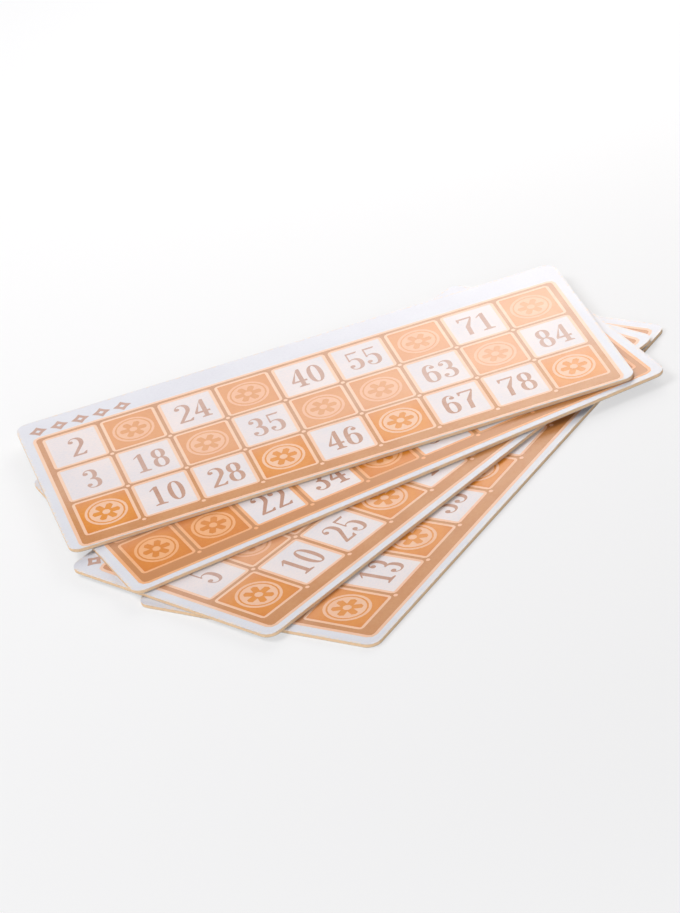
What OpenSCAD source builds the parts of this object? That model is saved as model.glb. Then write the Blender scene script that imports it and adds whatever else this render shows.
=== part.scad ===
// A fan of four cards of the ninety-number bingo game, lying on each other on a table.
// Each card is a stiff board with a paper pasted on both sides and a grid printed on its face.
// The top card's long side runs along X. The origin is the middle of the bottom card's underside.

/* [Card] */
// Width of one column of the grid, from line to line
column_w = 15.8; // [14:0.1:18]
// Height of one row of the grid, from line to line
row_h = 18.2; // [16:0.1:21]
// Margin left and right of the grid's lines
side_margin = 4.6; // [3:0.1:7]
// Margin above the grid's top line, which holds the heading
top_margin = 10.4; // [9:0.1:14]
// Margin below the grid's bottom line
bottom_margin = 4.5; // [4.4:0.1:9]
// Radius of the card's corners
corner_r = 3.2; // [1:0.1:4]

/* [Layers] */
// Thickness of the stiff board inside a card
board_t = 0.8; // [0.5:0.05:2]
// Thickness of the paper pasted on the face
face_paper_t = 0.1; // [0.08:0.01:0.3]
// Thickness of the paper pasted on the back
back_paper_t = 0.1; // [0.08:0.01:0.3]
// Thickness of one layer of ink
ink_t = 0.02; // [0.01:0.005:0.05]

/* [Grid] */
// Width of the ruled lines between the cells
line_w = 0.9; // [0.5:0.05:1.4]
// Width of the light rim inside each cell
rim_w = 0.8; // [0.3:0.05:0.9]
// Radius of the cells' corners
cell_r = 1.1; // [0.95:0.05:1.8]
// Width of the border left and right of the grid
border_side_w = 1.0; // [0.8:0.05:2]
// Width of the border above the grid
border_top_w = 0.6; // [0.5:0.05:1.6]
// Width of the band below the grid
border_bottom_w = 3.3; // [2:0.05:3.4]
// Width of the light outline round the border
outline_w = 0.9; // [0.3:0.05:1]
// Radius of the small dots where the lines cross
dot_r = 0.6; // [0.3:0.05:0.65]
// Share of the free paper above the heading by which the lower cards' print sits higher
lower_print_rise_share = 0.48; // [0:0.02:0.8]

/* [Medallion] */
// Width of the medallion in a blank cell
medallion_w = 11.2; // [8:0.1:11.8]
// Height of the medallion in a blank cell
medallion_h = 12.6; // [8:0.1:13.2]
// Number of petals of the flower inside the medallion
petals = 6; // [5:1:10]

/* [Numerals] */
// Height of a numeral
digit_h = 9.6; // [8:0.1:12]
// Width of a numeral
digit_w = 4.1; // [3.9:0.1:5]
// Gap between the two numerals of a number
digit_gap = 0.7; // [0.3:0.05:1]
// Width of a numeral's thick strokes
stem_w = 1.2; // [1:0.05:1.5]
// Width of a numeral's thin strokes
hair_w = 0.42; // [0.3:0.02:0.6]
// Share of the room beside a number by which it sits right of its cell's middle
number_shift_share = 0.2; // [0:0.05:1]

/* [Heading] */
// Number of ornaments in the heading
ornaments = 5; // [3:1:7]
// Width of one ornament
ornament_w = 5.0; // [3:0.1:5.4]
// Height of one ornament
ornament_h = 4.8; // [3:0.1:5]
// Distance from one ornament to the next
ornament_pitch = 5.8; // [5.4:0.1:8]
// Gap between the grid's border and the heading
heading_gap = 1.6; // [1.5:0.1:2.4]

/* [Fan] */
// Angle between the top card and the second card
fan_angle_1 = 10; // [0:0.1:24]
// Angle between the second card and the third card
fan_angle_2 = 22.7; // [0:0.1:40]
// Angle between the third card and the bottom card
fan_angle_3 = 10.3; // [0:0.1:22]
// Turning centre of the top card: inset from its right edge, minus where it lies beyond the card
turn_inset_1 = -5; // [-15:0.1:50]
// Turning centre of the second card: inset from its right edge
turn_inset_2 = 44; // [-15:0.1:50]
// Turning centre of the third card: inset from its right edge
turn_inset_3 = 7.1; // [-15:0.1:50]
// Turning centre of the top card: height above its long middle line
turn_rise_1 = 11.6; // [-30:0.1:30]
// Turning centre of the second card: height above its long middle line
turn_rise_2 = -7.8; // [-30:0.1:30]
// Turning centre of the third card: height above its long middle line
turn_rise_3 = 5.3; // [-30:0.1:30]

/* [Hidden] */
CARDS = 4;
COLUMNS = 9;
ROWS = 3;

grid_w = COLUMNS * column_w;
grid_h = ROWS * row_h;
card_w = grid_w + 2 * side_margin;
card_h = grid_h + top_margin + bottom_margin;

// Heights of the layers in a card, from its underside up. The inks are printed in three layers:
// the light ground with the numerals and the heading, then the lines and the solid fields, then
// the medallions and the dots.
board_z = back_paper_t;
face_z = board_z + board_t;
ground_z = face_z + face_paper_t;
line_z = ground_z + ink_t;
medallion_z = line_z + ink_t;
card_t = medallion_z + ink_t;

// The sheets aren't all cut alike: the print of the three lower cards sits higher on its card than
// that of the top card, which leaves them a wider strip of plain paper at the bottom.
print_rise = lower_print_rise_share * (top_margin - border_top_w - heading_gap - ornament_h);

fan_angles = [fan_angle_1, fan_angle_2, fan_angle_3];
turn_insets = [turn_inset_1, turn_inset_2, turn_inset_3];
turn_rises = [turn_rise_1, turn_rise_2, turn_rise_3];

// Numbers of each card, row by row from the top. Zero is a blank cell. A row holds five numbers,
// and a column holds the numbers of its own ten.
NUMBERS = [
    [[2, 0, 24, 0, 40, 55, 0, 71, 0],
     [3, 18, 0, 35, 0, 0, 63, 0, 84],
     [0, 10, 28, 0, 46, 0, 67, 78, 0]],
    [[7, 0, 20, 0, 43, 0, 61, 0, 81],
     [0, 15, 0, 32, 0, 52, 0, 76, 88],
     [0, 0, 22, 34, 0, 58, 65, 79, 0]],
    [[0, 0, 21, 31, 0, 50, 0, 73, 83],
     [5, 0, 0, 36, 44, 0, 62, 75, 0],
     [0, 10, 25, 0, 49, 57, 0, 0, 90]],
    [[4, 0, 26, 0, 42, 0, 60, 0, 80],
     [9, 0, 29, 30, 0, 51, 0, 77, 0],
     [0, 13, 0, 33, 0, 54, 68, 0, 87]]
];

// Straight steps in a quarter of a round outline: of a card's corner, of a cell's corner, of a
// numeral's outer and inner edge, and of a medallion's edge, groove and eye
CORNER_STEPS = 6;
CELL_STEPS = 2;
OUTER_STEPS = 5;
INNER_STEPS = 4;
EDGE_STEPS = 7;
GROOVE_STEPS = 5;
EYE_STEPS = 2;
TERMINAL_SIDES = 8;
DOT_SIDES = 6;

// Rings of the medallion, as shares of its half width and half height
groove_outer_share = 0.88;
groove_inner_share = 0.8;
petal_tip_share = 0.66;
petal_root_share = 0.3;
eye_share = 0.19;
PETAL_STEPS = 4;

// Parts of the heading's ornaments, as shares of an ornament's half width and half height
ornament_waist_share = 0.62;
ornament_hole_share = 0.32;

// Proportions of the numerals, as shares of their height or width
squareness_share = 0.88;
two_bowl_share = 0.28;
three_bowl_share = 0.26;
five_bowl_share = 0.32;
six_bowl_share = 0.31;
eight_bowl_share = 0.25;
eight_waist_share = 0.9;
terminal_share = 0.6;
bar_share = 0.62;
five_neck_share = 0.535;
flag_share = 0.16;
serif_share = 0.8;
four_bar_share = 0.27;
four_stem_share = 0.52;
seven_foot_share = 0.3;
// Angles on a bowl at which its stroke ends in a round terminal, meets another stroke or runs into
// a diagonal
hook_angle = 162;
six_hook_angle = 46;
six_back_angle = 200;
five_back_angle = 140;
shoulder_angle = -40;

paper_colour = [0.91, 0.9, 0.93];
back_colour = [0.86, 0.85, 0.84];
board_colour = [0.83, 0.8, 0.74];
line_colour = [0.86, 0.55, 0.32];
field_colour = [0.87, 0.54, 0.22];
tint_colour = [0.95, 0.73, 0.57];
number_colour = [0.72, 0.42, 0.22];

PIECES = ["back_paper", "core_board", "face_paper", "grid_print", "field_print", "tint_print",
    "number_print", "heading_print"];

// Points of an arc of an ellipse from angle a0 to angle a1, with a number of steps in a quarter.
// An exponent e under 1 fills its corners.
function power(x, e) = sign(x) * pow(abs(x), e);
function on_arc(centre, rx, ry, a, e = 1) =
    centre + [rx * power(cos(a), e), ry * power(sin(a), e)];
function arc(centre, rx, ry, a0, a1, steps, e = 1) =
    let (count = ceil(abs(a1 - a0) / 90 * steps))
    [for (i = [0:count]) on_arc(centre, rx, ry, a0 + (a1 - a0) * i / count, e)];
function closed_arc(centre, rx, ry, steps, e = 1) = [
    for (i = [0:4 * steps - 1])
        on_arc(centre, rx, ry, 90 * i / steps, e)
];
function joined(lists) = [for (list = lists) for (point = list) point];
function reversed(list) = [for (i = [len(list) - 1:-1:0]) list[i]];

// Points of a rectangle from corner a to corner b with rounded corners
function rounded(a, b, r, steps) = joined([
    arc([b[0] - r, b[1] - r], r, r, 0, 90, steps),
    arc([a[0] + r, b[1] - r], r, r, 90, 180, steps),
    arc([a[0] + r, a[1] + r], r, r, 180, 270, steps),
    arc([b[0] - r, a[1] + r], r, r, 270, 360, steps)
]);

// A flat shape with holes: each loop lies inside the one before it, and every second one is a hole
module nested(loops) {
    starts = [for (i = 0, n = 0; i < len(loops); n = n + len(loops[i]), i = i + 1) n];
    polygon(joined(loops), [
        for (i = [0:len(loops) - 1]) [for (j = [0:len(loops[i]) - 1]) starts[i] + j]
    ]);
}

// Draws the children, which are in a card's own frame, where card n lies in the fan.
// A card's own frame has its origin at the lower left corner of its underside.
module in_fan(n) {
    if (n == CARDS) {
        rotate(fan_angle_1 + fan_angle_2 + fan_angle_3)
            translate([-card_w / 2, -card_h / 2, 0]) children();
    } else {
        centre = [card_w - turn_insets[n - 1], card_h / 2 + turn_rises[n - 1], 0];
        in_fan(n + 1)
            translate(centre + [0, 0, card_t])
                rotate(-fan_angles[n - 1])
                    translate(-centre) children();
    }
}

// One layer over the whole card
module sheet(z, t) {
    translate([0, 0, z])
        linear_extrude(t)
            polygon(rounded([0, 0], [card_w, card_h], corner_r, CORNER_STEPS));
}

// The children as ink on card n: drawn flat, with their origin at the grid's lower left corner
module ink(n, z) {
    in_fan(n)
        translate([side_margin, bottom_margin + (n == 1 ? 0 : print_rise), z])
            linear_extrude(ink_t) children();
}

// Corners of the cell in a column and a row, both counted from the lower left and drawn in by inset
function cell_low(column, row, inset) = [column * column_w + inset, row * row_h + inset];
function cell_high(column, row, inset) =
    [(column + 1) * column_w - inset, (row + 1) * row_h - inset];
function cell_middle(column, row) = [(column + 0.5) * column_w, (row + 0.5) * row_h];
function cell_loop(column, row, inset) = rounded(
    cell_low(column, row, inset), cell_high(column, row, inset),
    cell_r - (inset - line_w / 2), CELL_STEPS);
function number_at(n, column, row) = NUMBERS[n - 1][ROWS - 1 - row][column];

// The border's outer edge, moved out by grow
function border_loop(grow) = rounded(
    [-border_side_w - grow, -border_bottom_w - grow],
    [grid_w + border_side_w + grow, grid_h + border_top_w + grow],
    cell_r + grow, CELL_STEPS);

module back_paper(n) {
    color(back_colour) in_fan(n) sheet(0, back_paper_t);
}

module core_board(n) {
    color(board_colour) in_fan(n) sheet(board_z, board_t);
}

module face_paper(n) {
    color(paper_colour) in_fan(n) sheet(face_z, face_paper_t);
}

// The light ground, which shows as the rims of the cells, and over the other inks the medallions
// and the dots
module tint_print(n) {
    color(tint_colour) {
        ink(n, ground_z)
            difference() {
                polygon(border_loop(outline_w));
                for (column = [0:COLUMNS - 1], row = [0:ROWS - 1])
                    if (number_at(n, column, row) > 0)
                        polygon(cell_loop(column, row, line_w / 2 + rim_w));
            }
        ink(n, medallion_z) {
            for (column = [0:COLUMNS - 1], row = [0:ROWS - 1])
                if (number_at(n, column, row) == 0)
                    medallion(cell_middle(column, row));
            for (column = [1:COLUMNS - 1], row = [0:ROWS - 1])
                translate([column * column_w, row * row_h])
                    circle(dot_r, $fn = DOT_SIDES);
        }
    }
}

// The ruled lines and the border, with a window for each cell
module grid_print(n) {
    color(line_colour) ink(n, line_z)
        difference() {
            polygon(border_loop(0));
            for (column = [0:COLUMNS - 1], row = [0:ROWS - 1])
                polygon(cell_loop(column, row, line_w / 2));
        }
}

// The solid fields of the blank cells
module field_print(n) {
    color(field_colour) ink(n, line_z)
        for (column = [0:COLUMNS - 1], row = [0:ROWS - 1])
            if (number_at(n, column, row) == 0)
                polygon(cell_loop(column, row, line_w / 2 + rim_w));
}

// A medallion: an oval disc with a ring groove, an open flower and an eye
module medallion(middle) {
    nested([
        medallion_ring(middle, 1, EDGE_STEPS),
        medallion_ring(middle, groove_outer_share, GROOVE_STEPS),
        medallion_ring(middle, groove_inner_share, GROOVE_STEPS),
        medallion_flower(middle),
        medallion_ring(middle, eye_share, EYE_STEPS)
    ]);
}

// Outlines of the medallion about its middle
function medallion_ring(middle, share, steps) =
    closed_arc(middle, share * medallion_w / 2, share * medallion_h / 2, steps);
function medallion_flower(middle) = [
    for (i = [0:petals * PETAL_STEPS - 1])
        let (a = 360 * i / (petals * PETAL_STEPS))
        let (bulge = sqrt(abs(cos(a * petals / 2))))
        let (share = petal_root_share + (petal_tip_share - petal_root_share) * bulge)
        middle + share / 2 * [medallion_w * cos(a), medallion_h * sin(a)]
];

// A bowl of a numeral: an arc whose stroke is right_w wide at its right side, left_w at its left
// side and hair_w at its top and bottom
function inner_centre(centre, right_w, left_w) = centre + [(left_w - right_w) / 2, 0];
function inner_rx(rx, right_w, left_w) = rx - (right_w + left_w) / 2;

module bowl(centre, rx, ry, right_w, left_w, a0, a1) {
    polygon(joined([
        arc(centre, rx, ry, a0, a1, OUTER_STEPS, squareness_share),
        reversed(arc(inner_centre(centre, right_w, left_w), inner_rx(rx, right_w, left_w),
            ry - hair_w, a0, a1, INNER_STEPS, squareness_share))
    ]));
}

module ring_bowl(centre, rx, ry) {
    nested([
        closed_arc(centre, rx, ry, OUTER_STEPS, squareness_share),
        closed_arc(centre, rx - stem_w, ry - hair_w, INNER_STEPS, squareness_share)
    ]);
}

// The round end of a bowl's stroke, at an angle of the bowl and inside its outer edge
module terminal(centre, rx, ry, a) {
    r = terminal_share * stem_w;
    translate(on_arc(centre, rx - r, ry - r, a, squareness_share))
        circle(r, $fn = TERMINAL_SIDES);
}

module digit_0() {
    ring_bowl([digit_w / 2, digit_h / 2], digit_w / 2, digit_h / 2);
}

module digit_1() {
    left = (digit_w - stem_w) / 2;
    right = left + stem_w;
    serif = (digit_w - serif_share * digit_w) / 2;
    flag = flag_share * digit_h;
    polygon([
        [serif, 0], [digit_w - serif, 0], [digit_w - serif, hair_w],
        [right, 2 * hair_w], [right, digit_h], [left + hair_w, digit_h],
        [serif, digit_h - flag], [serif, digit_h - flag - hair_w],
        [left, digit_h - flag + hair_w], [left, 2 * hair_w], [serif, hair_w]
    ]);
}

module digit_2() {
    rx = digit_w / 2;
    ry = two_bowl_share * digit_h;
    centre = [rx, digit_h - ry];
    bar = bar_share * stem_w;
    bowl(centre, rx, ry, stem_w, hair_w, shoulder_angle, hook_angle);
    polygon([
        on_arc(centre, rx, ry, shoulder_angle, squareness_share),
        on_arc(inner_centre(centre, stem_w, hair_w), inner_rx(rx, stem_w, hair_w), ry - hair_w,
            shoulder_angle, squareness_share),
        [0, hair_w], [0, 0], [digit_w - hair_w, 0], [digit_w, 2 * bar],
        [digit_w - hair_w, 2 * bar], [digit_w - bar - hair_w, bar], [stem_w, bar]
    ]);
    terminal(centre, rx, ry, hook_angle);
}

module digit_3() {
    top_rx = (digit_w - hair_w) / 2;
    top_ry = three_bowl_share * digit_h;
    top = [top_rx, digit_h - top_ry];
    low_rx = digit_w / 2;
    low_ry = (digit_h + hair_w) / 2 - top_ry;
    low = [low_rx, low_ry];
    bowl(top, top_rx, top_ry, stem_w, hair_w, -90, hook_angle);
    terminal(top, top_rx, top_ry, hook_angle);
    bowl(low, low_rx, low_ry, stem_w, hair_w, -hook_angle, 90);
    terminal(low, low_rx, low_ry, -hook_angle);
    translate([low_rx - stem_w / 2, 2 * low_ry - hair_w])
        square([stem_w / 2, hair_w]);
}

module digit_4() {
    left = four_stem_share * digit_w;
    bar = four_bar_share * digit_h;
    serif = digit_w - left - stem_w;
    nested([
        [
            [0, bar], [left, bar], [left, 2 * hair_w], [left - serif, hair_w], [left - serif, 0],
            [digit_w, 0], [digit_w, hair_w], [left + stem_w, 2 * hair_w], [left + stem_w, bar],
            [digit_w, bar], [digit_w, bar + 2 * hair_w], [left + stem_w, bar + 2 * hair_w],
            [left + stem_w, digit_h], [left + hair_w, digit_h], [0, bar + 2 * hair_w]
        ],
        [
            [2 * hair_w, bar + 2 * hair_w], [left, bar + 2 * hair_w],
            [left, digit_h - 3 * hair_w]
        ]
    ]);
}

module digit_5() {
    rx = digit_w / 2;
    ry = five_bowl_share * digit_h;
    centre = [rx, ry];
    bar = bar_share * stem_w;
    neck = five_neck_share * digit_h;
    bowl(centre, rx, ry, stem_w, hair_w, -hook_angle, five_back_angle);
    polygon([
        [hair_w, digit_h], [hair_w, neck], [2 * hair_w, neck],
        [2 * hair_w, digit_h - bar], [digit_w - 2 * hair_w, digit_h - bar],
        [digit_w - hair_w, digit_h]
    ]);
    terminal(centre, rx, ry, -hook_angle);
}

module digit_6() {
    rx = digit_w / 2;
    ry = six_bowl_share * digit_h;
    middle = [rx, digit_h / 2];
    ring_bowl([rx, ry], rx, ry);
    bowl(middle, rx, digit_h / 2, hair_w, stem_w, six_hook_angle, six_back_angle);
    terminal(middle, rx, digit_h / 2, six_hook_angle);
}

module digit_7() {
    bar = bar_share * stem_w;
    foot = seven_foot_share * digit_w;
    polygon([
        [0, digit_h], [0, digit_h - 2.5 * bar], [hair_w, digit_h - 2.5 * bar],
        [bar, digit_h - bar], [digit_w - hair_w, digit_h - bar],
        [foot + hair_w / 2, digit_h / 2], [foot, 0], [foot + stem_w, 0],
        [foot + stem_w + hair_w / 2, digit_h / 2 - hair_w], [digit_w, digit_h - bar],
        [digit_w, digit_h]
    ]);
}

module digit_8() {
    top_ry = eight_bowl_share * digit_h;
    low_ry = (digit_h + hair_w) / 2 - top_ry;
    ring_bowl([digit_w / 2, digit_h - top_ry], eight_waist_share * digit_w / 2, top_ry);
    ring_bowl([digit_w / 2, low_ry], digit_w / 2, low_ry);
}

module digit_9() {
    translate([digit_w, digit_h]) rotate(180) digit_6();
}

module digit(value) {
    if (value == 0) digit_0();
    if (value == 1) digit_1();
    if (value == 2) digit_2();
    if (value == 3) digit_3();
    if (value == 4) digit_4();
    if (value == 5) digit_5();
    if (value == 6) digit_6();
    if (value == 7) digit_7();
    if (value == 8) digit_8();
    if (value == 9) digit_9();
}

// Middle of a number, which sits a little to the right of its cell's middle. The room is the gap
// between a centred number of two digits and the rim of its cell.
function number_middle(column, row) =
    let (room = (column_w - line_w - 2 * digit_w - digit_gap) / 2 - rim_w)
    cell_middle(column, row) + [number_shift_share * room, 0];

// A number of one or two digits about its middle
module number(value, middle) {
    tens = floor(value / 10);
    low = middle[1] - digit_h / 2;
    if (tens == 0) {
        translate([middle[0] - digit_w / 2, low]) digit(value);
    } else {
        translate([middle[0] - digit_gap / 2 - digit_w, low]) digit(tens);
        translate([middle[0] + digit_gap / 2, low]) digit(value % 10);
    }
}

module number_print(n) {
    color(number_colour) ink(n, ground_z)
        for (column = [0:COLUMNS - 1], row = [0:ROWS - 1])
            if (number_at(n, column, row) > 0)
                number(number_at(n, column, row), number_middle(column, row));
}

// An ornament of the heading: a four-pointed star with a diamond-shaped hole
function star(middle) = [
    for (i = [0:7])
        let (reach = (i % 2 == 0 ? 1 : ornament_waist_share) / 2)
        middle + reach * [ornament_w * cos(45 * i), ornament_h * sin(45 * i)]
];
function diamond(middle) = [
    for (a = [0:90:270])
        middle + ornament_hole_share / 2 * [ornament_w * cos(a), ornament_h * sin(a)]
];

// The heading in the top margin: a plain row of ornaments, in line with the outline's left end
module heading_print(n) {
    color(number_colour) ink(n, ground_z)
        for (i = [0:ornaments - 1])
            let (middle = [
                ornament_w / 2 - border_side_w - outline_w + i * ornament_pitch,
                grid_h + border_top_w + heading_gap + ornament_h / 2
            ])
                nested([star(middle), diamond(middle)]);
}

for (n = [1:CARDS]) {
    back_paper(n);
    core_board(n);
    face_paper(n);
    grid_print(n);
    field_print(n);
    tint_print(n);
    number_print(n);
    heading_print(n);
}
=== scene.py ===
"""The looks of a fan of four number cards: coated paper, orange ink, cut board edges, a studio.

Every piece is a CAD node. Each gets a procedural material that is laid out in its own card's
frame, so that paper grain, ink and wear stay with the card when it turns."""

import math

import bpy
from mathutils import Matrix, Vector


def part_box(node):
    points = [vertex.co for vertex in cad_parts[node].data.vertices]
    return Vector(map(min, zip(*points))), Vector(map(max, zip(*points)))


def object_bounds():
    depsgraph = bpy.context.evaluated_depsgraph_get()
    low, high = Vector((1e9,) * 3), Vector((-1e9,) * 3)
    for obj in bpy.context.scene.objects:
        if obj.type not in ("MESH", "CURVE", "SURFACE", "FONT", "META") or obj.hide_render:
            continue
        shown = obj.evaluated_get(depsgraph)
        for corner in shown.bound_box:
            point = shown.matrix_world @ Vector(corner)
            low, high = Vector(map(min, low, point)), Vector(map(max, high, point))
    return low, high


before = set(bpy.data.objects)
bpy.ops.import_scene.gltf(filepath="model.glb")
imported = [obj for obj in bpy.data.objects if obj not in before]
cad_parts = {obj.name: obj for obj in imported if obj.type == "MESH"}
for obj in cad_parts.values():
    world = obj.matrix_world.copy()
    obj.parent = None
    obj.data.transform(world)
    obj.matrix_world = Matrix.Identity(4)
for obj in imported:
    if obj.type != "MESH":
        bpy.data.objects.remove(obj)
cad_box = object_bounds()

MM = 0.001
CARDS = 4

# The grid on a card, measured from the card's lower left corner. The print of the three lower
# cards sits higher than that of the top card.
COLUMNS = 9
ROWS = 3
COLUMN_W = 15.8 * MM
ROW_H = 18.2 * MM
SIDE_MARGIN = 4.6 * MM
BOTTOM_MARGINS = (4.5 * MM, 6.13 * MM, 6.13 * MM, 6.13 * MM)

# A face whose normal points up or down by less than this is an upright wall.
WALL_TILT = 0.5

# The photograph's frame, in pixels
IMAGE_W = 680
IMAGE_H = 913

# The camera, in degrees and metres, with its sensor in millimetres, and the share of the
# frame's width that the fan fills
CAMERA_AZIMUTH = -10.0
CAMERA_ELEVATION = 30.6
CAMERA_ROLL = -12.2
CAMERA_DISTANCE = 1.07
CAMERA_CLIP_START = 0.01
SENSOR = 36.0
FILL_SHARE = 0.95

# Colours as read in the photograph, in 0 to 255
PAPER = (230, 231, 239)
PAPER_SHADE = (219, 219, 229)
GRID_PAPER = (244, 231, 229)
BACK = (214, 209, 202)
BACK_SHADE = (196, 189, 180)
BOARD = (252, 222, 186)
BOARD_SHADE = (236, 193, 150)
SOIL = (176, 164, 150)
LINE_INK = (214, 152, 96)
LINE_INK_DEEP = (202, 132, 72)
FIELD_INK = (233, 148, 44)
FIELD_INK_DEEP = (219, 124, 0)
RIM_INK = (250, 214, 188)
MEDALLION_INK = (243, 186, 148)
MEDALLION_INK_DENSE = (243, 177, 122)
NUMBER_INK = (202, 158, 137)
NUMBER_INK_DEEP = (187, 137, 114)
# The light veil of a painted sheen, laid over the ink behind the front row of cells
PAINTED_SHEEN_VEIL = (238, 236, 244)
FLOOR = (245, 245, 246)
GLOW = (251, 251, 252)

# Share of the inks' colours that a painted sheen pales towards a light veil behind the front row
# of cells, and the heights above the grid's lowest line between which the painted sheen sets in
PAINTED_SHEEN = 0.14
FIELD_PAINTED_SHEEN = 0.18
TINT_PAINTED_SHEEN = 0.04
PAINTED_SHEEN_START = 0.5 * ROW_H
PAINTED_SHEEN_END = 1.3 * ROW_H

# How much denser each card is printed than the palest one, from the top card down
DENSER = (0.0, 0.5, 0.15, 0.15)
DENSEST_CARD = 1 + DENSER.index(max(DENSER))

# How far inside the grid's outline the paper has taken on its warmer colour
WARM_REACH = 1.5 * MM

# Nicks along a card's edges: the distances from the edge at which their wear is full and has
# ended, the values of a noise between which they set in, and the share of colour that they take
WEAR_FULL = 0.05 * MM
WEAR_END = 0.9 * MM
WEAR_RAGGED = (0.42, 0.66)
WEAR_SHARE = 0.6

# Metres by which the grain is moved from one card to the next
GRAIN_STEP = (0.31, 0.17)

# Depth of each surface's relief
PAPER_RELIEF = 0.006 * MM
INK_RELIEF = 0.005 * MM
BACK_RELIEF = 0.02 * MM
BOARD_RELIEF = 0.03 * MM

# Thin clear coat on the ink: how strong and how rough it is
INK_COAT = 0.08
COAT_ROUGHNESS = 0.3

# The floor: half its side, how far it lies below the cards, and the share of its look that is
# an even white glow, which leaves the rest for its shadows. The glow rises to the whole look
# between the two distances from the cards' middle.
FLOOR_HALF = 3.0
FLOOR_DROP = 0.02 * MM
FLOOR_GLOW = 0.6
GLOW_START = 120 * MM
GLOW_FULL = 420 * MM

# The studio's light. The softboxes stand around the cards' middle: their angles are in degrees,
# their distances and sizes in metres, and their power in watts.
WORLD_STRENGTH = 0.2
WHITE_LIGHT = (1, 1, 1)
WARM_LIGHT = (1, 0.96, 0.92)
SOFTBOXES = {
    "key_softbox": dict(azimuth=-118, elevation=50, distance=0.8, width=0.4, depth=0.4,
                        power=3.8, tone=WHITE_LIGHT),
    "front_softbox": dict(azimuth=-15, elevation=16, distance=0.8, width=0.5, depth=0.3,
                          power=1.9, tone=WHITE_LIGHT),
    "right_softbox": dict(azimuth=150, elevation=24, distance=0.5, width=0.3, depth=0.2,
                          power=1.05, tone=WARM_LIGHT),
    "back_softbox": dict(azimuth=165, elevation=26, distance=0.45, width=0.3, depth=0.2,
                         power=0.3, tone=WARM_LIGHT),
}


def linear(colour):
    """A colour of 0 to 255, on the sRGB curve, as plain light with an alpha of 1."""
    def channel(value):
        share = value / 255
        return share / 12.92 if share <= 0.04045 else ((share + 0.055) / 1.055) ** 2.4
    return (*(channel(value) for value in colour), 1.0)


class CardFrame:
    """Where a card lies: its centre, the angle of its long side, and its half sizes.

    The largest upright wall of the board faces across the card, and the heading is printed on
    the card's upper side."""

    def __init__(self, number):
        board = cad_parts[f"card_{number}_core_board"]
        walls = [face for face in board.data.polygons if abs(face.normal.z) < WALL_TILT]
        across = max(walls, key=lambda wall: wall.area).normal.xy.normalized()
        middle = self.middle_of(board)
        heading = self.middle_of(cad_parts[f"card_{number}_heading_print"])
        if (heading - middle).dot(across) < 0:
            across = -across
        along = Vector((across.y, -across.x))
        corners = [vertex.co.xy - middle for vertex in board.data.vertices]
        self.number = number
        self.middle = middle
        self.angle = math.atan2(along.y, along.x)
        self.half_length = max(corner.dot(along) for corner in corners)
        self.half_height = max(corner.dot(across) for corner in corners)
        self.bottom_margin = BOTTOM_MARGINS[number - 1]

    @staticmethod
    def middle_of(piece):
        low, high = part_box(piece.name)
        return ((low + high) / 2).xy


class Shader:
    """A material's node tree, with one short call for each kind of node.

    A call's inputs are plain values or the outputs of other nodes."""

    def __init__(self, name):
        self.material = bpy.data.materials.new(name)
        self.material.use_nodes = True
        self.tree = self.material.node_tree
        self.surface = self.tree.nodes["Principled BSDF"]

    def feed(self, socket, value):
        if isinstance(value, bpy.types.NodeSocket):
            self.tree.links.new(value, socket)
        else:
            socket.default_value = value

    def node(self, kind, inputs, **settings):
        made = self.tree.nodes.new(kind)
        for name, value in settings.items():
            setattr(made, name, value)
        for name, value in inputs.items():
            self.feed(made.inputs[name], value)
        return made

    def math(self, operation, first, second=0.0, clamp=False):
        return self.node("ShaderNodeMath", {0: first, 1: second},
                         operation=operation, use_clamp=clamp).outputs[0]

    def noise(self, place, size, detail=2.0, roughness=0.5):
        """Noise whose grains are about size across, in metres."""
        return self.node("ShaderNodeTexNoise", {
            "Vector": place, "Scale": 1 / size, "Detail": detail, "Roughness": roughness,
        }).outputs["Fac"]

    def ramp(self, value, low, high, to_low=0.0, to_high=1.0):
        """A smooth run from to_low to to_high, while the value goes from low to high."""
        return self.node("ShaderNodeMapRange", {
            "Value": value, "From Min": low, "From Max": high,
            "To Min": to_low, "To Max": to_high,
        }, interpolation_type="SMOOTHSTEP").outputs["Result"]

    def mix(self, share, first, second):
        """The first colour where the share is 0, and the second where it is 1."""
        return self.node("ShaderNodeMix", {"Factor": share, "A": first, "B": second},
                         data_type="RGBA").outputs["Result"]

    def split(self, place):
        return self.node("ShaderNodeSeparateXYZ", {"Vector": place}).outputs

    def stretched(self, place, along, across):
        """The place with two axes drawn out, so that a noise on it has long grains."""
        return self.node("ShaderNodeMapping", {
            "Vector": place, "Scale": (1 / along, 1 / across, 1.0),
        }).outputs["Vector"]

    def bump(self, height, depth):
        """Relief in which a height of 1 stands for the depth, in metres."""
        made = self.node("ShaderNodeBump", {"Height": height, "Strength": 1.0,
                                            "Distance": depth})
        self.feed(self.surface.inputs["Normal"], made.outputs["Normal"])

    def finish(self, colour, roughness, specular, coat=0.0):
        self.feed(self.surface.inputs["Base Color"], colour)
        self.feed(self.surface.inputs["Roughness"], roughness)
        self.surface.inputs["Specular IOR Level"].default_value = specular
        self.surface.inputs["Coat Weight"].default_value = coat
        self.surface.inputs["Coat Roughness"].default_value = COAT_ROUGHNESS
        return self.material


def card_place(shader, card):
    """The shaded point in the card's own frame: X along its long side, from the card's middle."""
    made = shader.node("ShaderNodeTexCoord", {})
    return shader.node("ShaderNodeMapping", {
        "Vector": made.outputs["Object"],
        "Location": (card.middle.x, card.middle.y, 0),
        "Rotation": (0, 0, card.angle),
    }, vector_type="TEXTURE").outputs["Vector"]


def own_noise_place(shader, card, place):
    """The place moved aside by a step for each card, so that no two cards wear the same grain."""
    step_x, step_y = GRAIN_STEP
    return shader.node("ShaderNodeMapping", {
        "Vector": place, "Location": (step_x * card.number, step_y * card.number, 0),
    }).outputs["Vector"]


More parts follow.
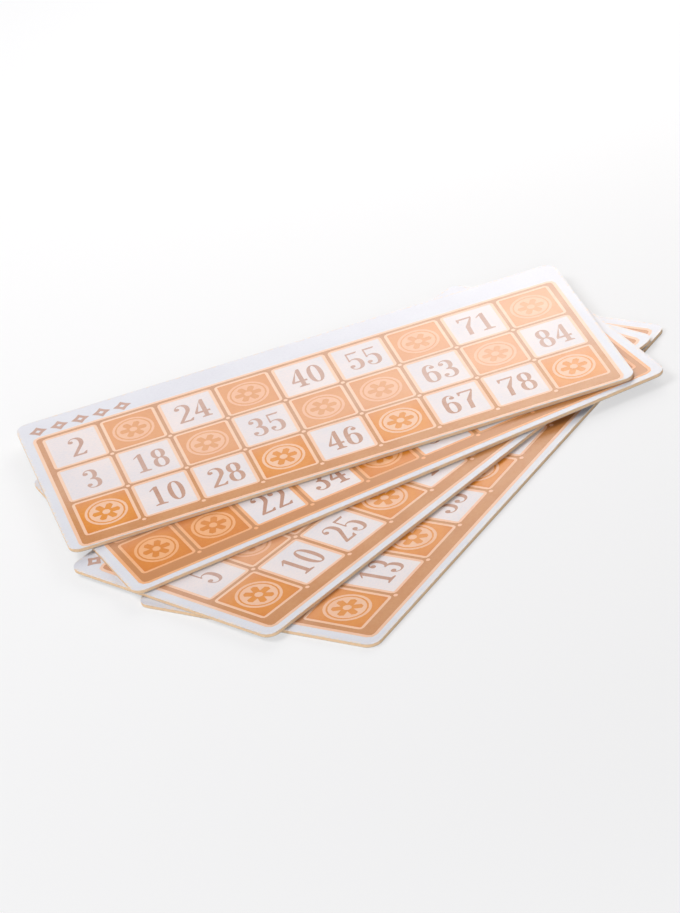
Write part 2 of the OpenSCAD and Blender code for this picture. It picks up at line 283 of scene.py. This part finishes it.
def edge_distance(shader, card, place):
    """How far the point is inside the card's nearest edge, in metres."""
    x, y, _ = shader.split(place)
    inside_x = shader.math("SUBTRACT", card.half_length, shader.math("ABSOLUTE", x))
    inside_y = shader.math("SUBTRACT", card.half_height, shader.math("ABSOLUTE", y))
    return shader.math("MINIMUM", inside_x, inside_y)


def paper_relief(shader, place):
    """The height of coated paper: fine fibres along the card, and a soft unevenness."""
    fibres = shader.noise(shader.stretched(place, along=3.0, across=1.0), size=0.22 * MM,
                          detail=4.0, roughness=0.6)
    cloud = shader.noise(place, size=2.4 * MM)
    return shader.math("ADD", fibres, shader.math("MULTIPLY", cloud, 1.6))


def wear(shader, card, place, grain_place):
    """How worn the point is: strong in ragged nicks along the edges, none inside the card."""
    distance = edge_distance(shader, card, place)
    ragged = shader.noise(grain_place, size=1.1 * MM, detail=5.0, roughness=0.65)
    near = shader.ramp(distance, WEAR_FULL, WEAR_END, to_low=1.0, to_high=0.0)
    return shader.math("MULTIPLY", near, shader.ramp(ragged, *WEAR_RAGGED))


def worn_colour(shader, card, place, grain_place, colour, bared):
    """The colour with what the nicks along the edges have bared."""
    worn = wear(shader, card, place, grain_place)
    return shader.mix(shader.math("MULTIPLY", worn, WEAR_SHARE), colour, linear(bared))


def inside_grid(shader, card, place):
    """1 on the warmer paper between the ruled lines, and 0 in the margins."""
    x, y, _ = shader.split(place)
    left = shader.math("ADD", x, card.half_length - SIDE_MARGIN)
    right = shader.math("SUBTRACT", COLUMNS * COLUMN_W, left)
    below = shader.math("ADD", y, card.half_height - card.bottom_margin)
    above = shader.math("SUBTRACT", ROWS * ROW_H, below)
    inside = shader.math("MINIMUM", shader.math("MINIMUM", left, right),
                         shader.math("MINIMUM", below, above))
    return shader.ramp(inside, 0.0, WARM_REACH)


def face_paper(card):
    """Smooth coated paper with soft clouds and fine flecks, and board bared along the edges."""
    shader = Shader(f"face_paper_{card.number}")
    place = card_place(shader, card)
    grain = own_noise_place(shader, card, place)
    cloud = shader.noise(grain, size=14 * MM, detail=3.0)
    flecks = shader.noise(shader.stretched(grain, along=2.5, across=1.0), size=0.35 * MM,
                          detail=3.0, roughness=0.6)
    tone = shader.math("ADD", shader.ramp(cloud, 0.3, 0.7, to_high=0.35),
                       shader.ramp(flecks, 0.35, 0.75, to_high=0.4))
    colour = shader.mix(inside_grid(shader, card, place), linear(PAPER), linear(GRID_PAPER))
    colour = shader.mix(tone, colour, linear(PAPER_SHADE))
    colour = worn_colour(shader, card, place, grain, colour, BOARD)
    roughness = shader.ramp(flecks, 0.3, 0.8, to_low=0.40, to_high=0.50)
    shader.bump(paper_relief(shader, grain), PAPER_RELIEF)
    return shader.finish(colour, roughness, specular=0.4)


def back_paper(card):
    """Plain rough paper with pulp and a few long dark flecks, and soiled along the edges."""
    shader = Shader(f"back_paper_{card.number}")
    place = card_place(shader, card)
    grain = own_noise_place(shader, card, place)
    pulp = shader.noise(shader.stretched(grain, along=2.0, across=1.0), size=0.6 * MM,
                        detail=5.0, roughness=0.7)
    flecks = shader.noise(shader.stretched(grain, along=6.0, across=1.0), size=0.5 * MM)
    colour = shader.mix(shader.ramp(pulp, 0.35, 0.7), linear(BACK), linear(BACK_SHADE))
    colour = shader.mix(shader.ramp(flecks, 0.68, 0.76, to_high=0.5), colour, linear(SOIL))
    colour = worn_colour(shader, card, place, grain, colour, SOIL)
    shader.bump(pulp, BACK_RELIEF)
    return shader.finish(colour, roughness=0.8, specular=0.3)


def core_board(card):
    """Pressed pulp in thin layers, which shows on the cut edges."""
    shader = Shader(f"core_board_{card.number}")
    grain = own_noise_place(shader, card, card_place(shader, card))
    layers = shader.noise(shader.stretched(grain, along=14.0, across=14.0), size=0.09 * MM,
                          detail=4.0, roughness=0.65)
    fibres = shader.noise(grain, size=0.16 * MM, detail=4.0, roughness=0.7)
    tone = shader.math("ADD", shader.ramp(layers, 0.35, 0.7, to_high=0.55),
                       shader.ramp(fibres, 0.4, 0.75, to_high=0.35))
    colour = shader.mix(tone, linear(BOARD), linear(BOARD_SHADE))
    shader.bump(shader.math("ADD", layers, fibres), BOARD_RELIEF)
    return shader.finish(colour, roughness=0.85, specular=0.25)


def behind_front_row(shader, card, place):
    """0 in the front row of cells, and 1 behind it: where the painted sheen and the cell shares
    change.
    """
    _, y, _ = shader.split(place)
    up = shader.math("ADD", y, card.half_height - card.bottom_margin)
    return shader.ramp(up, PAINTED_SHEEN_START, PAINTED_SHEEN_END)


def cell_share(shader, value, start, pitch, count):
    """Where the value lies in its cell: 0 in the middle, 0.5 or -0.5 on the cell's lines.

    Outside the grid's cells, of which there are count in a row, it stays on the outer line."""
    cells = shader.math("DIVIDE", shader.math("ADD", value, start), pitch)
    held = shader.node("ShaderNodeClamp", {"Value": cells, "Max": count}).outputs["Result"]
    return shader.math("SUBTRACT", shader.math("FRACT", held), 0.5)


def cell_depth(shader, card, place, most, reach):
    """How deep the ink is by where the point lies in its cell: 0 at the start of the reach, and
    the most at its end. The reach is a range of the squared distance from the cell's middle,
    in shares of the cell."""
    x, y, _ = shader.split(place)
    across = cell_share(shader, x, card.half_length - SIDE_MARGIN, COLUMN_W, COLUMNS)
    up = cell_share(shader, y, card.half_height - card.bottom_margin, ROW_H, ROWS)
    squares = shader.math("ADD", shader.math("MULTIPLY", across, across),
                          shader.math("MULTIPLY", up, up))
    return shader.ramp(squares, *reach, to_high=most)


def ink(name, card, light, deep, mottle_share, gloss, reach=(0.08, 0.42), painted_front_depth=0.0,
        cell_shares=(1.0, 1.0), painted_sheen=PAINTED_SHEEN):
    """A film of ink on coated paper: uneven density, fine pinholes, and the paper's own grain.

    Its tone goes from the light colour to the deep one. The mottle makes up its share of that,
    and the rest comes from where a point lies in its cell, over the given reach. The ink of the
    front row of cells can be deeper, and behind that row a painted sheen pales it towards a light
    veil: both paint a sheen that grows away from the front. The cell shares say how much of the
    deepening within a cell shows in the front row and behind it. Gloss is the roughness of the
    film's smoothest places."""
    shader = Shader(f"{name}_{card.number}")
    place = card_place(shader, card)
    grain = own_noise_place(shader, card, place)
    density = shader.noise(grain, size=9 * MM, detail=3.0)
    mottle = shader.noise(grain, size=0.8 * MM, detail=4.0, roughness=0.6)
    pinholes = shader.noise(grain, size=0.16 * MM)
    tone = shader.math("ADD", shader.ramp(density, 0.3, 0.7, to_high=0.5),
                       shader.ramp(mottle, 0.35, 0.7, to_high=0.5))
    behind = behind_front_row(shader, card, place)
    depth = shader.math("MULTIPLY", cell_depth(shader, card, place, 1 - mottle_share, reach),
                        shader.ramp(behind, 0.0, 1.0, *cell_shares))
    tone = shader.math("ADD", shader.math("MULTIPLY", tone, mottle_share), depth)
    # Painted sheen: the ink of the front row is deeper than the ink behind it.
    tone = shader.math("ADD", tone, shader.ramp(behind, 0.0, 1.0, to_low=painted_front_depth,
                                                to_high=0.0))
    tone = shader.math("ADD", tone, DENSER[card.number - 1], clamp=True)
    colour = shader.mix(tone, linear(light), linear(deep))
    # Painted sheen: behind the front row the ink is paled towards a light veil.
    colour = shader.mix(shader.math("MULTIPLY", behind, painted_sheen), colour, linear(PAINTED_SHEEN_VEIL))
    colour = shader.mix(shader.ramp(pinholes, 0.7, 0.8, to_high=0.45), colour, linear(PAPER))
    roughness = shader.ramp(mottle, 0.3, 0.75, to_low=gloss, to_high=gloss + 0.1)
    shader.bump(paper_relief(shader, grain), INK_RELIEF)
    return shader.finish(colour, roughness, specular=0.35, coat=INK_COAT)


def line_ink(card):
    """The mid-orange ink of the ruled lines and the border."""
    return ink("line_ink", card, LINE_INK, LINE_INK_DEEP, mottle_share=0.6, gloss=0.38)


def field_ink(card):
    """The solid orange ink of the blank cells."""
    # Behind the front row a stronger painted sheen pales the field ink.
    return ink("field_ink", card, FIELD_INK, FIELD_INK_DEEP, mottle_share=0.45, gloss=0.36,
               cell_shares=(1.0, 0.35), painted_sheen=FIELD_PAINTED_SHEEN)


def tint_ink(card):
    """The light ink of the rims, and of the medallions in the cells' middles. Its reach runs
    inwards, because it is denser on the medallions."""
    deep = MEDALLION_INK_DENSE if card.number == DENSEST_CARD else MEDALLION_INK
    # A painted sheen: the tint is deeper in the front row and paler behind it.
    return ink("tint_ink", card, RIM_INK, deep, mottle_share=0.3, gloss=0.4,
               reach=(0.165, 0.135), painted_front_depth=0.3, cell_shares=(0.3, 1.0), painted_sheen=TINT_PAINTED_SHEEN)


def number_ink(card):
    """The dark ink of the numbers and of the row of stars."""
    return ink("number_ink", card, NUMBER_INK, NUMBER_INK_DEEP, mottle_share=0.8, gloss=0.4)


FINISHES = {
    "back_paper": back_paper,
    "core_board": core_board,
    "face_paper": face_paper,
    "grid_print": line_ink,
    "field_print": field_ink,
    "tint_print": tint_ink,
    "number_print": number_ink,
    "heading_print": number_ink,
}


def dress_cards():
    """Gives each piece of each card its finish, which is made once for each card."""
    for number in range(1, CARDS + 1):
        card = CardFrame(number)
        made = {}
        for piece, finish in FINISHES.items():
            if finish not in made:
                made[finish] = finish(card)
            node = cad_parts[f"card_{number}_{piece}"]
            node.data.materials.clear()
            node.data.materials.append(made[finish])


def aim(thing, place, target, roll=0.0):
    """Stands a lamp or the camera at a place, looking at the target, turned by a roll."""
    turn = (target - place).to_track_quat("-Z", "Y").to_matrix().to_4x4()
    thing.matrix_world = Matrix.Translation(place) @ turn @ Matrix.Rotation(roll, 4, "Z")


def around(target, azimuth, elevation, distance):
    """A place at a distance from the target. Azimuth 0 is in front, on the side of -Y."""
    a, e = math.radians(azimuth), math.radians(elevation)
    return target + distance * Vector(
        (math.sin(a) * math.cos(e), -math.cos(a) * math.cos(e), math.sin(e)))


def make_camera(target):
    """The camera at the photograph's angle, as near as fills the frame's width with the fan."""
    data = bpy.data.cameras.new("camera")
    camera = bpy.data.objects.new("camera", data)
    bpy.context.scene.collection.objects.link(camera)
    place = around(target, CAMERA_AZIMUTH, CAMERA_ELEVATION, CAMERA_DISTANCE)
    aim(camera, place, target, math.radians(CAMERA_ROLL))
    seen = [camera.matrix_world.inverted() @ vertex.co
            for number in range(1, CARDS + 1)
            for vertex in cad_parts[f"card_{number}_core_board"].data.vertices]
    slopes = [point.x / -point.z for point in seen]
    rises = [point.y / -point.z for point in seen]
    half_width = (max(slopes) - min(slopes)) / 2 / FILL_SHARE
    data.sensor_width = SENSOR
    data.lens = SENSOR / 2 / (half_width * IMAGE_H / IMAGE_W)
    data.shift_x = (max(slopes) + min(slopes)) / 2 * data.lens / SENSOR
    data.shift_y = (max(rises) + min(rises)) / 2 * data.lens / SENSOR
    data.clip_start = CAMERA_CLIP_START
    bpy.context.scene.camera = camera


def make_softbox(name, target, azimuth, elevation, distance, width, depth, power, tone):
    data = bpy.data.lights.new(name, "AREA")
    data.color = tone
    data.shape = "RECTANGLE"
    data.size = width
    data.size_y = depth
    data.energy = power
    lamp = bpy.data.objects.new(name, data)
    bpy.context.scene.collection.objects.link(lamp)
    aim(lamp, around(target, azimuth, elevation, distance), target)


def make_world():
    world = bpy.data.worlds.new("studio")
    world.use_nodes = True
    background = world.node_tree.nodes["Background"]
    background.inputs["Color"].default_value = (1, 1, 1, 1)
    background.inputs["Strength"].default_value = WORLD_STRENGTH
    bpy.context.scene.world = world


def make_floor():
    """A pale floor that the cards lie on. It glows evenly white to the camera and to glossy and
    transmission rays, and it keeps the cards' shadow near them."""
    half = FLOOR_HALF
    mesh = bpy.data.meshes.new("floor")
    mesh.from_pydata([(-half, -half, 0), (half, -half, 0), (half, half, 0), (-half, half, 0)],
                     [], [(0, 1, 2, 3)])
    floor = bpy.data.objects.new("floor", mesh)
    bpy.context.scene.collection.objects.link(floor)
    floor.location.z = -FLOOR_DROP
    shader = Shader("floor")
    mesh.materials.append(shader.finish(linear(FLOOR), roughness=0.9, specular=0.1))
    glow = shader.node("ShaderNodeEmission", {"Color": linear(GLOW), "Strength": 1.0})
    place = shader.node("ShaderNodeTexCoord", {}).outputs["Object"]
    distance = shader.node("ShaderNodeVectorMath", {0: place},
                           operation="LENGTH").outputs["Value"]
    share = shader.ramp(distance, GLOW_START, GLOW_FULL, to_low=FLOOR_GLOW)
    path = shader.node("ShaderNodeLightPath", {}).outputs
    seen = shader.math("ADD", path["Is Camera Ray"], path["Is Glossy Ray"])
    seen = shader.math("ADD", seen, path["Is Transmission Ray"], clamp=True)
    mixed = shader.node("ShaderNodeMixShader", {
        0: shader.math("MULTIPLY", seen, share), 1: shader.surface.outputs["BSDF"],
        2: glow.outputs["Emission"],
    })
    output = shader.tree.nodes["Material Output"]
    shader.feed(output.inputs["Surface"], mixed.outputs["Shader"])


def make_studio():
    low, high = cad_box
    target = (low + high) / 2
    make_camera(target)
    make_floor()
    make_world()
    for name, settings in SOFTBOXES.items():
        make_softbox(name, target, **settings)
    bpy.context.scene.view_settings.view_transform = "Standard"


dress_cards()
make_studio()
